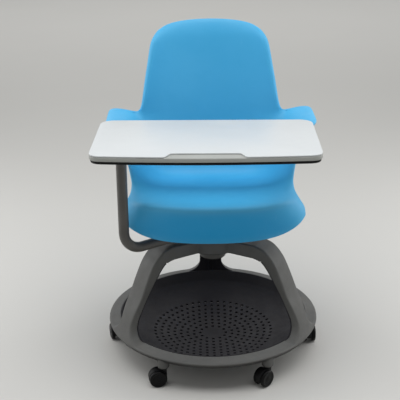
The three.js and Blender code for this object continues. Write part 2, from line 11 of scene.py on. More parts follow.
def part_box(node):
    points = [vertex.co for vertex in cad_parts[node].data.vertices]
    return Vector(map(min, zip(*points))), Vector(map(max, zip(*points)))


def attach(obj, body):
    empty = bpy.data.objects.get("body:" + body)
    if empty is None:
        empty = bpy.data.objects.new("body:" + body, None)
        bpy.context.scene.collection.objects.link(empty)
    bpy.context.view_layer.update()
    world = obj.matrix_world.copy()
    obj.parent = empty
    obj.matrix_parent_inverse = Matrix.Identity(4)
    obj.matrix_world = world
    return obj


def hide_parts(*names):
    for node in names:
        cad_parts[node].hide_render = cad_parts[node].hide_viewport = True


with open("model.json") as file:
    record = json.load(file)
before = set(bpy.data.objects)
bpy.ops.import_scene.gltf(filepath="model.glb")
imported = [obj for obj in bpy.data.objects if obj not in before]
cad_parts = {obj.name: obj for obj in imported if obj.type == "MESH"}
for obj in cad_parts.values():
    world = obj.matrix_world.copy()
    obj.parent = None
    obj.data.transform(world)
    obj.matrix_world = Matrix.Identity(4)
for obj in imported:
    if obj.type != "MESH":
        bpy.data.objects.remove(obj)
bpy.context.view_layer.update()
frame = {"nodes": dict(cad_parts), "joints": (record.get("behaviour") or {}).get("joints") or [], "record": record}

# The shapes are drawn in millimetres, with the seat's swivel axis on Z and the floor at FLOOR.
# Lights, camera and modifiers are in metres.
JOINTS = {joint["name"]: joint for joint in frame["joints"]}
MM = 0.001
FLOOR = 7.0
AXIS = Vector((*JOINTS["seat_swivel"]["pos_m"][:2], -FLOOR * MM))


# ---------------------------------------------------------------- measures from the frame

def node_box(node):
    """A CAD node's lowest and highest corner, in millimetres, measured from the swivel axis."""
    low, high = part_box(node)
    return (low - AXIS) / MM, (high - AXIS) / MM


RING_LEAN = 1.5    # The ring is widest a little below its shoulder, by this much.
RING_OUTER = node_box("base_frame")[1].x - RING_LEAN
RING_INNER = 251.5
RING_TOP = node_box("storage_tray")[1].z
RING_SKIRT = 77.0
HUB_TOP = node_box("base_frame")[1].z
HUB_DEPTH = 35.0
HUB_BOTTOM = HUB_TOP - HUB_DEPTH
HUB_RADIUS = 73.0
LEG_WIDTH = 65.0
LEG_ANGLES = {"front_left": 210, "front_right": 330, "rear": 90}
LINER_WIDTH = 63.0
LINER_DEPTH = 3.3
LINER_FILLET = 38.0
LINER_START = 158.0
LEG_STEPS = 60
LEG_EDGE = 4.5
LEG_TAPER = 4.5
LEG_TAPER_HEIGHTS = (140.0, 205.0)
FOOT_FILLET = 46.0
RING_SHOULDER = 92.5    # The fillets at the legs' outer feet rise from this height.
FACE_STEPS = 14    # Faces across a leg, so that its wide faces bow with the ring.

CAD_TRAY_WALL = 3.0
TRAY_WALL = 5.6    # Thicker than the CAD's, so that less of the pale floor shows through the holes.
TRAY_CENTRE = node_box("storage_tray")[0].z + CAD_TRAY_WALL
TRAY_RISE = (3.9e-4, 6.3e-9)
TRAY_FLOOR_RADIUS = 241.0
HOLE_RINGS = range(2, 10)
HOLE_PITCH = 17.7
HOLE_RADIUS = 4.3

CASTER_CIRCLE = 264.0
WHEEL_RADIUS = 22.5
CASTER_TRAIL = 15.0
WEB_HALF = 6.6
WHEEL_WIDTH = 10.1
SOCKET_BOTTOM = node_box("base_frame")[0].z

ARM_RADIUS = 13.0
ARM_HEIGHT = node_box("arm")[0].z + ARM_RADIUS
ARM_BEND = 50.0
ARM_START = 30.0
COLLAR_BORE = 22.4
COLLAR_RADIUS = 38.0
SLEEVE_BORE = 8.5
SLEEVE_BOTTOM = 556.0
POST = (Vector(JOINTS["worksurface_pivot"]["pos_m"]) - AXIS) / MM
ARM_REACH = math.hypot(POST.x, POST.y)
ARM_ANGLE = math.atan2(POST.y, POST.x)
POST_TOP = node_box("arm")[1].z

WORK_WIDTH = 537.0
WORK_DEPTH = 293.0
WORK_BOW = 9.0
WORK_CORNER = 33.0
WORK_CENTRE = (-18.0, -134.0)
WORK_TURN = math.radians(-1.6)
WORK_TOP = node_box("worksurface_top")[1].z
BOARD_THICKNESS = 3.2
RIM_BOTTOM = node_box("worksurface_rim")[0].z - WORK_TOP
PAN_BOTTOM = node_box("worksurface_underplate")[0].z - WORK_TOP

SHELL_THICKNESS = 5.5


# ---------------------------------------------------------------- mesh helpers

def make_object(name, vertices, faces, material, body):
    """A mesh from points in millimetres about the swivel axis, riding on a CAD body."""
    mesh = bpy.data.meshes.new(name)
    points = [tuple(np.array(v, float) * MM + np.array(AXIS)) for v in vertices]
    mesh.from_pydata(points, [], faces)
    mesh.validate()
    tidy = bmesh.new()
    tidy.from_mesh(mesh)
    bmesh.ops.remove_doubles(tidy, verts=tidy.verts, dist=1e-6)
    bmesh.ops.recalc_face_normals(tidy, faces=tidy.faces)
    tidy.to_mesh(mesh)
    tidy.free()
    for face in mesh.polygons:
        face.use_smooth = True
    piece = bpy.data.objects.new(name, mesh)
    bpy.context.scene.collection.objects.link(piece)
    piece.data.materials.append(material)
    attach(piece, body)
    return piece


def stand_for(node):
    """The piece takes the CAD node's place; the node is hidden."""
    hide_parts(node)


def grid_faces(rows, columns, wrap_columns=False, start=0):
    """The four-sided faces between rows of points, where start is the first point's number."""
    faces = []
    for i in range(rows - 1):
        for j in range(columns if wrap_columns else columns - 1):
            k = (j + 1) % columns
            a, b = start + i * columns + j, start + i * columns + k
            faces.append((a, b, b + columns, a + columns))
    return faces


def loft(sections, start=0):
    """Vertices and faces of a closed skin over equal closed sections."""
    count = len(sections[0])
    vertices = [tuple(point) for section in sections for point in section]
    faces = grid_faces(len(sections), count, True, start)
    faces.append(tuple(start + i for i in reversed(range(count))))
    last = start + (len(sections) - 1) * count
    faces.append(tuple(last + i for i in range(count)))
    return vertices, faces


def lathe(profile, segments=64, centre=(0, 0), start=0):
    """Vertices and faces of (radius, height) points turned about Z. A point on the axis is a pole."""
    vertices, rings = [], []
    for radius, height in profile:
        if radius < 1e-6:
            rings.append([start + len(vertices)])
            vertices.append((centre[0], centre[1], height))
            continue
        rings.append(list(range(start + len(vertices), start + len(vertices) + segments)))
        for k in range(segments):
            turn = 2 * math.pi * k / segments
            x = centre[0] + radius * math.cos(turn)
            y = centre[1] + radius * math.sin(turn)
            vertices.append((x, y, height))
    faces = []
    for low, high in zip(rings, rings[1:]):
        for k in range(segments):
            n = (k + 1) % segments
            if len(low) == 1 and len(high) == 1:
                continue
            if len(low) == 1:
                faces.append((low[0], high[n], high[k]))
            elif len(high) == 1:
                faces.append((low[k], low[n], high[0]))
            else:
                faces.append((low[k], low[n], high[n], high[k]))
    return vertices, faces


def rounded(profile, radius, steps=3):
    """The same outline, with a small curve in place of each corner between its two end points."""
    result = [profile[0]]
    for before, corner, after in zip(profile, profile[1:], profile[2:]):
        before, corner, after = (np.array(p, float) for p in (before, corner, after))
        into, out = before - corner, after - corner
        reach = min(radius, 0.45 * np.linalg.norm(into), 0.45 * np.linalg.norm(out))
        a = corner + into / np.linalg.norm(into) * reach
        b = corner + out / np.linalg.norm(out) * reach
        for k in range(steps + 1):
            t = k / steps
            result.append(tuple((1 - t) ** 2 * a + 2 * t * (1 - t) * corner + t * t * b))
    result.append(profile[-1])
    return result


def smooth_line(points, count):
    """Points of a Catmull-Rom curve through the given points, as rows of an array."""
    p = np.array(points, float)
    p = np.vstack([p[:1], p, p[-1:]])
    result = []
    for k in range(count + 1):
        at = (len(p) - 3) * k / count
        i = min(int(at), len(p) - 4)
        t = at - i
        a, b, c, d = p[i], p[i + 1], p[i + 2], p[i + 3]
        v0, v1 = (c - a) / 2, (d - b) / 2
        cubic = 2 * b - 2 * c + v0 + v1
        square = 3 * c - 3 * b - 2 * v0 - v1
        result.append(cubic * t ** 3 + square * t ** 2 + v0 * t + b)
    result[0], result[-1] = p[1], p[-2]
    return np.array(result)


def turned_piece(name, profile, material, body, node, centre=(0, 0), segments=64, corner=0.8):
    skin = lathe(rounded(profile, corner), segments, centre)
    piece = make_object(name, *skin, material, body)
    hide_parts(node)


def plate_piece(name, outline, low, high, edge, material, body, place):
    """A flat plate over an outline, with rounded edges. The outline runs anticlockwise."""
    p = np.array(outline, float)
    ahead, behind = np.roll(p, -1, 0) - p, p - np.roll(p, 1, 0)
    ahead /= np.linalg.norm(ahead, axis=1)[:, None]
    behind /= np.linalg.norm(behind, axis=1)[:, None]
    along = ahead + behind
    along /= np.linalg.norm(along, axis=1)[:, None]
    inward = np.stack([-along[:, 1], along[:, 0]], 1)
    steps = 4
    sections = []
    for k in range(steps + 1):
        turn = math.pi / 2 * k / steps
        inset, height = edge * (1 - math.sin(turn)), low + edge * (1 - math.cos(turn))
        sections.append([(*q, height) for q in p + inward * inset])
    for k in range(steps + 1):
        turn = math.pi / 2 * k / steps
        inset, height = edge * (1 - math.cos(turn)), high - edge * (1 - math.sin(turn))
        sections.append([(*q, height) for q in p + inward * inset])
    vertices, faces = loft(sections)
    vertices = [tuple(place @ Vector(v)) for v in vertices]
    return make_object(name, vertices, faces, material, body)


def add_modifier(piece, kind, **settings):
    modifier = piece.modifiers.new(kind.lower(), kind)
    for key, value in settings.items():
        setattr(modifier, key, value)


def sharpen(piece, angle=35):
    """Keeps creases crisp on a smooth-shaded mesh."""
    piece.data.set_sharp_from_angle(angle=math.radians(angle))


# ---------------------------------------------------------------- materials

def srgb(red, green, blue):
    """An sRGB colour, 0 to 255, as linear RGBA."""
    channels = [c / 255 for c in (red, green, blue)]
    linear = [c / 12.92 if c <= 0.04045 else ((c + 0.055) / 1.055) ** 2.4 for c in channels]
    return (*linear, 1.0)


class Nodes:
    """A small helper that adds and links shader nodes."""

    def __init__(self, name):
        self.material = bpy.data.materials.new(name)
        self.material.use_nodes = True
        self.tree = self.material.node_tree
        self.shader = self.tree.nodes["Principled BSDF"]
        self.place = self.tree.nodes.new("ShaderNodeTexCoord").outputs["Object"]

    def link(self, source, target):
        self.tree.links.new(source, target)

    def noise(self, scale, detail=4.0, roughness=0.55, stretch=None):
        node = self.tree.nodes.new("ShaderNodeTexNoise")
        node.inputs["Scale"].default_value = scale
        node.inputs["Detail"].default_value = detail
        node.inputs["Roughness"].default_value = roughness
        source = self.place
        if stretch:
            mapping = self.tree.nodes.new("ShaderNodeMapping")
            mapping.inputs["Scale"].default_value = stretch
            self.link(source, mapping.inputs["Vector"])
            source = mapping.outputs["Vector"]
        self.link(source, node.inputs["Vector"])
        return node.outputs["Fac"]

    def cells(self, scale):
        node = self.tree.nodes.new("ShaderNodeTexVoronoi")
        node.inputs["Scale"].default_value = scale
        self.link(self.place, node.inputs["Vector"])
        return node.outputs["Distance"]

    def remap(self, source, low, high, out_low=0.0, out_high=1.0):
        node = self.tree.nodes.new("ShaderNodeMapRange")
        node.inputs["From Min"].default_value = low
        node.inputs["From Max"].default_value = high
        node.inputs["To Min"].default_value = out_low
        node.inputs["To Max"].default_value = out_high
        self.link(source, node.inputs["Value"])
        return node.outputs["Result"]

    def mix(self, factor, first, second):
        node = self.tree.nodes.new("ShaderNodeMix")
        node.data_type = "RGBA"
        self.link(factor, node.inputs["Factor"])
        for value, socket in ((first, node.inputs[6]), (second, node.inputs[7])):
            if isinstance(value, tuple):
                socket.default_value = value
            else:
                self.link(value, socket)
        return node.outputs[2]

    def math(self, operation, first, second):
        node = self.tree.nodes.new("ShaderNodeMath")
        node.operation = operation
        for value, socket in ((first, node.inputs[0]), (second, node.inputs[1])):
            if isinstance(value, (int, float)):
                socket.default_value = value
            else:
                self.link(value, socket)
        return node.outputs["Value"]

    def edges(self, low=0.52, high=0.6):
        """White on convex edges, from the mesh's own curvature."""
        geometry = self.tree.nodes.new("ShaderNodeNewGeometry")
        return self.remap(geometry.outputs["Pointiness"], low, high)

    def upward(self, low=0.6, high=1.0):
        """Black to white as the upward part of the surface's normal goes from low to high."""
        geometry = self.tree.nodes.new("ShaderNodeNewGeometry")
        split = self.tree.nodes.new("ShaderNodeSeparateXYZ")
        self.link(geometry.outputs["Normal"], split.inputs["Vector"])
        return self.remap(split.outputs["Z"], low, high)

    def bump(self, source, strength, distance, under=None):
        node = self.tree.nodes.new("ShaderNodeBump")
        node.inputs["Strength"].default_value = strength
        node.inputs["Distance"].default_value = distance
        self.link(source, node.inputs["Height"])
        if under is not None:
            self.link(under, node.inputs["Normal"])
        return node.outputs["Normal"]

    def finish(self, colour, roughness, normal=None, metallic=0.0, specular=0.5):
        self.link(colour, self.shader.inputs["Base Color"])
        if isinstance(roughness, float):
            self.shader.inputs["Roughness"].default_value = roughness
        else:
            self.link(roughness, self.shader.inputs["Roughness"])
        if normal is not None:
            self.link(normal, self.shader.inputs["Normal"])
        self.shader.inputs["Metallic"].default_value = metallic
        self.shader.inputs["Specular IOR Level"].default_value = specular
        return self.material


def moulded_plastic(name, base, light, grain, rough, dust=0.0, dust_colour=None, specular=0.45,
                    painted_underside_shade=0.0):
    """Injection-moulded plastic: a fine spark-eroded grain, slow tone drift, worn edges and scuffs.

    Dust lies in patches on the faces that look up. Painted shade darkens the faces that look down, where they
    would fall in shadow.
    """
    n = Nodes(name)
    drift = n.remap(n.noise(7, 3), 0.3, 0.7)
    speckle = n.remap(n.noise(900, 2), 0.3, 0.7)
    colour = n.mix(n.math("MULTIPLY", drift, 0.35), base, light)
    colour = n.mix(n.math("MULTIPLY", speckle, 0.12), colour, light)
    colour = n.mix(n.math("MULTIPLY", n.edges(), 0.30), colour, light)
    if dust > 0:
        patch = n.remap(n.noise(18, 6, 0.65), 0.42, 0.75)
        patch = n.math("MULTIPLY", patch, n.upward())
        colour = n.mix(n.math("MULTIPLY", patch, dust), colour, dust_colour)
    # Painted shade: faces that look down are mixed towards near-black, standing in for the shadow under them.
    if painted_underside_shade > 0:
        colour = n.mix(n.math("MULTIPLY", n.upward(-0.15, -0.6), painted_underside_shade), colour, srgb(16, 15, 15))
    scuff = n.remap(n.noise(60, 5, 0.7, (1.0, 0.12, 1.0)), 0.58, 0.72)
    roughness = n.remap(n.noise(35, 5, 0.6), 0.3, 0.7, *rough)
    roughness = n.math("ADD", roughness, n.math("MULTIPLY", scuff, 0.12))
    grain_height = n.math("ADD", n.noise(1500, 2), n.math("MULTIPLY", n.cells(1100), 0.6))
    normal = n.bump(grain_height, grain * 0.35, 0.0004)
    normal = n.bump(n.noise(9, 2), 0.05, 0.003, normal)
    return n.finish(colour, roughness, normal, specular=specular)


def seat_plastic():
    """Sky-blue polypropylene with a fine matte grain and paler scuffs. A painted highlight pales the convex edges,
    and painted shade deepens the blue on faces that look down.
    """
    n = Nodes("seat_plastic")
    base, light, deep = srgb(60, 166, 217), srgb(128, 200, 236), srgb(40, 152, 206)
    colour = n.mix(n.remap(n.noise(5, 3), 0.3, 0.7), base, srgb(70, 172, 222))
    colour = n.mix(n.math("MULTIPLY", n.remap(n.noise(16, 5, 0.6), 0.5, 0.8), 0.15), colour, deep)
    # Painted shade: faces that look down get a deeper, more saturated blue, standing in for the shadow there and
    # the missing sheen of the ceiling light.
    colour = n.mix(n.upward(-0.3, 0.1), srgb(22, 156, 216), colour)
    # Painted highlight: convex edges are mixed towards a paler blue, where the light catches them.
    colour = n.mix(n.math("MULTIPLY", n.edges(0.505, 0.56), 0.35), colour, light)
    scuff = n.remap(n.noise(75, 6, 0.72, (1.0, 0.1, 0.4)), 0.6, 0.75)
    colour = n.mix(n.math("MULTIPLY", scuff, 0.10), colour, light)
    roughness = n.remap(n.noise(28, 5, 0.6), 0.3, 0.7, 0.46, 0.58)
    roughness = n.math("ADD", roughness, n.math("MULTIPLY", scuff, 0.1))
    grain = n.math("ADD", n.noise(1300, 2), n.math("MULTIPLY", n.cells(900), 0.7))
    normal = n.bump(grain, 0.16, 0.0004)
    normal = n.bump(n.noise(6, 2), 0.05, 0.004, normal)
    return n.finish(colour, roughness, normal, specular=0.35)


def laminate():
    """Satin white laminate with a barely visible speckle, soft smears and hairline marks."""
    n = Nodes("laminate")
    base, grey = srgb(201, 205, 207), srgb(184, 188, 190)
    colour = n.mix(n.math("MULTIPLY", n.remap(n.noise(1100, 2), 0.35, 0.7), 0.14), base, grey)
    colour = n.mix(n.math("MULTIPLY", n.remap(n.noise(6, 4), 0.4, 0.8), 0.16), colour, grey)
    mark = n.remap(n.noise(90, 7, 0.75, (0.15, 1.0, 1.0)), 0.64, 0.74)
    colour = n.mix(n.math("MULTIPLY", mark, 0.12), colour, srgb(170, 174, 176))
    roughness = n.remap(n.noise(14, 6, 0.65), 0.3, 0.7, 0.30, 0.46)
    normal = n.bump(n.noise(1400, 2), 0.06, 0.0003)
    return n.finish(colour, roughness, normal, specular=0.45)


def powder_coat(name, base, light):
    """Powder coat on steel: orange-peel bump, low sheen, chipped paler edges."""
    n = Nodes(name)
    colour = n.mix(n.math("MULTIPLY", n.remap(n.noise(12, 4), 0.35, 0.7), 0.3), base, light)
    colour = n.mix(n.math("MULTIPLY", n.edges(0.53, 0.62), 0.35), colour, light)
    roughness = n.remap(n.noise(45, 5, 0.6), 0.3, 0.7, 0.34, 0.5)
    normal = n.bump(n.noise(420, 2), 0.22, 0.0005)
    return n.finish(colour, roughness, normal, specular=0.5)


def plated_steel():
    """Zinc-plated steel with fine turning lines and faint yellowing."""
    n = Nodes("plated_steel")
    colour = n.mix(n.remap(n.noise(60, 4), 0.35, 0.7), srgb(176, 178, 180), srgb(196, 190, 172))
    lines = n.noise(700, 2, 0.5, (1.0, 1.0, 14.0))
    roughness = n.remap(lines, 0.3, 0.7, 0.22, 0.42)
    return n.finish(colour, roughness, n.bump(lines, 0.12, 0.0002), metallic=1.0)


def wheel_plastic():
    """Hard black caster wheel: dull dusty tread, glossier face, small nicks."""
    n = Nodes("wheel_plastic")
    dust = n.remap(n.noise(220, 6, 0.7), 0.5, 0.75)
    colour = n.mix(n.math("MULTIPLY", dust, 0.12), srgb(6, 6, 7), srgb(46, 44, 42))
    roughness = n.remap(n.noise(160, 5, 0.65), 0.3, 0.7, 0.26, 0.5)
    normal = n.bump(n.noise(600, 3), 0.15, 0.0004)
    return n.finish(colour, roughness, normal, specular=0.16)


BLUE = seat_plastic()
# The base grey carries painted shade on its downward faces: the ring's skirt, the hub's bottom and the arches
# under it.
GREY = moulded_plastic("base_grey", srgb(78, 78, 77), srgb(102, 102, 99), 0.6, (0.46, 0.64),
                       dust=0.2, dust_colour=srgb(122, 120, 115), specular=0.35, painted_underside_shade=0.85)
CHARCOAL = moulded_plastic("tray_charcoal", srgb(30, 29, 33), srgb(47, 46, 51), 0.7, (0.5, 0.7),
                           dust=0.22, dust_colour=srgb(66, 63, 61), specular=0.2)
BLACK = moulded_plastic("black_plastic", srgb(10, 10, 11), srgb(30, 30, 32), 0.5, (0.4, 0.58),
                        specular=0.2)
RIM = moulded_plastic("rim_grey", srgb(154, 156, 152), srgb(176, 178, 175), 0.35, (0.38, 0.52))
ACETAL = moulded_plastic("acetal", srgb(222, 218, 206), srgb(236, 233, 224), 0.2, (0.3, 0.42))
WHITE = laminate()
ARM_PAINT = powder_coat("arm_paint", srgb(76, 74, 71), srgb(112, 110, 106))
BLACK_PAINT = powder_coat("black_paint", srgb(24, 24, 25), srgb(60, 60, 60))
STEEL = plated_steel()
WHEEL = wheel_plastic()


# ---------------------------------------------------------------- seat shell

# Control points of the seat's upper face, right half. Each row runs from the centre line to
# the free edge. The rows go from the front lip, over the seat and the two side wings, to the
# top of the back.
SHELL_ROWS = [
    [(0, -158, 363), (70, -156, 364), (131, -150, 369), (176, -142, 380), (206, -134, 396),
     (223, -121, 407), (232, -104, 416)],
    [(0, -177, 404), (70, -175, 405), (132, -167, 408), (178, -152, 414), (206, -134, 421),
     (224, -115, 428), (233, -93, 432)],
    [(0, -194, 449), (70, -192, 450), (131, -181, 451), (175, -158, 453), (201, -134, 451),
     (216, -108, 447), (225, -84, 442)],
    [(0, -195, 470), (70, -193, 470), (129, -181, 471), (171, -157, 471), (195, -132, 468),
     (210, -105, 462), (218, -78, 453)],
    [(0, -171, 472), (68, -169, 472), (126, -158, 473), (165, -137, 473), (189, -113, 471),
     (203, -88, 468), (210, -62, 462)],
    [(0, -112, 469), (66, -110, 469), (123, -101, 470), (162, -86, 471), (186, -70, 472),
     (199, -53, 473), (207, -36, 472)],
    [(0, -28, 456), (66, -28, 456), (121, -24, 459), (159, -18, 464), (184, -13, 473),
     (198, -8, 482), (207, -5, 489)],
    [(0, 52, 442), (66, 52, 442), (120, 52, 445), (158, 50, 455), (186, 42, 475),
     (203, 36, 497), (215, 28, 517)],
    [(0, 112, 434), (68, 112, 434), (122, 108, 439), (160, 96, 457), (191, 78, 491),
     (214, 60, 532), (236, 50, 566)],
    [(0, 148, 444), (70, 146, 444), (124, 138, 450), (162, 120, 475), (194, 96, 522),
     (222, 74, 574), (262, 54, 606)],
    [(0, 166, 478), (72, 163, 478), (126, 152, 484), (163, 134, 508), (194, 114, 552),
     (226, 90, 600), (275, 66, 612)],
    [(0, 178, 524), (74, 174, 524), (128, 162, 528), (167, 147, 546), (198, 132, 580),
     (226, 121, 609), (275, 112, 613)],
    [(0, 187, 564), (75, 182, 564), (130, 170, 566), (169, 156, 577), (198, 147, 597),
     (228, 150, 612), (275, 158, 615)],
    [(0, 193, 592), (76, 188, 592), (132, 176, 592), (170, 163, 595), (193, 158, 603),
     (225, 172, 615), (274, 196, 617)],
    [(0, 196, 606), (76, 191, 606), (133, 179, 606), (171, 167, 607), (189, 161, 609),
     (213, 175, 615), (252, 200, 617)],
    [(0, 198, 616), (76, 193, 616), (133, 181, 616), (169, 169, 615), (185, 164, 614),
     (198, 169, 614), (218, 182, 615)],
    [(0, 200, 626), (76, 195, 626), (132, 183, 626), (167, 171, 624), (181, 166, 620),
     (189, 166, 616), (197, 169, 613)],
    [(0, 203, 640), (76, 198, 640), (131, 186, 639), (164, 174, 637), (177, 169, 634),
     (184, 169, 630), (188, 172, 624)],
    [(0, 207, 660), (75, 202, 660), (129, 190, 659), (160, 178, 658), (172, 172, 657),
     (179, 173, 655), (183, 179, 653)],
    [(0, 216, 700), (72, 211, 700), (125, 199, 699), (154, 187, 698), (166, 182, 697),
     (173, 183, 696), (177, 190, 695)],
    [(0, 226, 746), (69, 222, 746), (119, 211, 746), (145, 200, 745), (157, 195, 744),
     (164, 196, 743), (168, 203, 742)],
    [(0, 237, 792), (66, 233, 792), (112, 224, 791), (138, 213, 789), (151, 208, 787),
     (158, 209, 785), (162, 216, 783)],
    [(0, 245, 826), (62, 242, 826), (103, 235, 824), (128, 226, 818), (142, 221, 813),
     (150, 221, 809), (155, 228, 806)],
    [(0, 259, 848), (52, 257, 846), (86, 253, 842), (110, 248, 837), (124, 244, 831),
     (133, 242, 826), (139, 245, 821)],
]


def spline_matrix(count, samples):
    """Weights of a clamped uniform cubic B-spline: one row for each sample."""
    spans = count - 3
    knots = np.concatenate([np.zeros(3), np.linspace(0, 1, spans + 1), np.ones(3)])
    at = np.minimum(np.array(samples, float), 1 - 1e-9)[:, None]
    weights = ((knots[:-1] <= at) & (at < knots[1:])).astype(float)
    for degree in range(1, 4):
        rise = knots[degree:-1] - knots[:-degree - 1]
        fall = knots[degree + 1:] - knots[1:-degree]
        left = np.where(rise > 0, (at - knots[:-degree - 1]) / np.where(rise > 0, rise, 1), 0)
        right = np.where(fall > 0, (knots[degree + 1:] - at) / np.where(fall > 0, fall, 1), 0)
        weights = left * weights[:, :-1] + right * weights[:, 1:]
    return weights


def shell_surface(rows, columns):
    """Points of the seat's upper face, as rows from the front lip to the top of the back."""
    right = np.array(SHELL_ROWS, float)
    left = right[:, :0:-1] * np.array([-1, 1, 1])
    net = np.concatenate([left, right], 1)
    along = spline_matrix(net.shape[0], np.linspace(0, 1, rows))
    across = spline_matrix(net.shape[1], np.linspace(0, 1, columns))
    return np.einsum("ai,bj,ijk->abk", along, across, net)


def unit(vectors):
    return vectors / np.maximum(np.linalg.norm(vectors, axis=-1, keepdims=True), 1e-9)


def build_shell():
    """The sheet between the upper face and its offset, with a rounded free edge all round."""
    rows, columns, rim_steps, rim_bulge = 148, 84, 4, 0.42
    top = shell_surface(rows, columns)
    normal = unit(np.cross(np.gradient(top, axis=1), np.gradient(top, axis=0)))
    under = top - normal * SHELL_THICKNESS
    vertices = list(top.reshape(-1, 3)) + list(under.reshape(-1, 3))
    size = rows * columns
    faces = grid_faces(rows, columns)
    faces += [tuple(reversed(face)) for face in grid_faces(rows, columns, start=size)]

    # The free edge, once round, with the next point inside each edge point.
    edge = [(0, j, 1, j) for j in range(columns - 1)]
    edge += [(i, columns - 1, i, columns - 2) for i in range(rows - 1)]
    edge += [(rows - 1, j, rows - 2, j) for j in range(columns - 1, 0, -1)]
    edge += [(i, 0, i, 1) for i in range(rows - 1, 0, -1)]
    count = len(edge)
    rings = [[i * columns + j for i, j, _, _ in edge]]
    outline = np.array([top[i, j] for i, j, _, _ in edge])
    tangent = unit(np.roll(outline, -1, 0) - np.roll(outline, 1, 0))
    lower = np.array([under[i, j] for i, j, _, _ in edge])
    across = unit(outline - lower)
    outward = unit(np.cross(tangent, across))
    inside = np.array([top[k, l] for _, _, k, l in edge])
    outward *= np.sign(np.sum(outward * (outline - inside), 1))[:, None]
    middle = (outline + lower) / 2
    for step in range(1, rim_steps):
        turn = math.pi * step / rim_steps
        ring = middle + (outline - middle) * math.cos(turn)
        ring = ring + outward * (SHELL_THICKNESS * rim_bulge * math.sin(turn))
        rings.append(list(range(len(vertices), len(vertices) + count)))
        vertices += list(ring)
    rings.append([size + index for index in rings[0]])
    for a, b in zip(rings, rings[1:]):
        faces += [(a[k], b[k], b[(k + 1) % count], a[(k + 1) % count]) for k in range(count)]
    shell = make_object("seat_shell_skin", vertices, faces, BLUE, "seat")
    stand_for("seat_shell")


# ---------------------------------------------------------------- base

# A leg's outer and inner face as (radius, height), from the hub down to the ring.
LEG_OUTSIDE = [(140, 328), (168, 318), (195, 290), (216, 249), (236, 202), (254.5, 166), (265.5, 138),
               (274, 112), (281.8, 92)]
LEG_INSIDE = [(138, 292), (155, 287.5), (169, 276.5), (191, 245), (216, 203.5), (240, 153.6), (247, 130),
              (251.5, 98)]


def flare(height, radius):
    """How far a fillet of this radius spreads sideways at a height above its foot."""
    if height >= radius:
        return 0.0
    rest = radius - max(height, 0.0)
    return radius - math.sqrt(max(radius * radius - rest * rest, 0.0))


def leg_frame(angle):
    """The directions away from the axis and across a leg."""
    turn = math.radians(angle)
    return Vector((math.cos(turn), math.sin(turn), 0)), Vector((-math.sin(turn), math.cos(turn), 0))


def on_leg(radius, side, height, angle):
    """A point of a leg. The leg's faces bow with the ring, so its edges stand slightly nearer the axis."""
    out, along = leg_frame(angle)
    sag = CASTER_CIRCLE - math.sqrt(CASTER_CIRCLE ** 2 - min(abs(side), 200) ** 2)
    point = out * (radius - sag) + along * side
    return (point.x, point.y, height)


def leg_section(outer, inner, angle, inner_half, outer_half):
    """One closed section, with rounded edges, that may be wider at its outer face."""
    depth = math.hypot(outer[0] - inner[0], outer[1] - inner[1])
    points = []
    inner_edge = 1.2
    for centre_x, centre_y, radius, first in (
        (1, depth, LEG_EDGE, 0), (-1, depth, LEG_EDGE, 90),
        (-1, 0, inner_edge, 180), (1, 0, inner_edge, 270),
    ):
        half = outer_half if centre_y else inner_half
        for k in range(5):
            turn = math.radians(first + 90 * k / 4)
            points.append((centre_x * (half - radius) + radius * math.cos(turn),
                           abs(centre_y - radius) + radius * math.sin(turn)))
        if first in (0, 180):
            reach = centre_x * (half - radius)
            sides = np.linspace(reach, -reach, FACE_STEPS + 1)[1:-1]
            points += [(side, centre_y) for side in sides]
    result = []
    for side, rise in points:
        share = rise / depth
        radius = inner[0] + (outer[0] - inner[0]) * share
        height = inner[1] + (outer[1] - inner[1]) * share
        result.append(on_leg(radius, side, height, angle))
    return result


def build_leg(angle, start):
    """One leg from inside the hub to inside the ring, set back where the liner covers it."""
    outside = smooth_line(LEG_OUTSIDE, LEG_STEPS)
    inside = smooth_line(LEG_INSIDE, LEG_STEPS)
    hub = [((r, HUB_TOP), (r, HUB_BOTTOM)) for r in (6, 50, 95)]
    foot = [((282.6, 88.8), (253, 90)), ((275.4, RING_SKIRT + 1), (256, 84))]
    stations = hub + list(zip(outside, inside)) + foot
    sections = []
    for outer, inner in stations:
        inner_half = LEG_WIDTH / 2 + flare(inner[1] - RING_TOP, LINER_FILLET)
        outer_half = LEG_WIDTH / 2 - np.interp(outer[1], LEG_TAPER_HEIGHTS, (LEG_TAPER, 0))
        outer_half += flare(outer[1] - RING_SHOULDER, FOOT_FILLET)
        if LINER_START - 1 < inner[0] and inner[1] > RING_TOP - 1:
            away = unit(np.array(outer) - np.array(inner))
            inner = tuple(np.array(inner) + away * (LINER_DEPTH + 0.3))
        sections.append(leg_section(outer, inner, angle, inner_half, outer_half))
    return loft(sections, start)


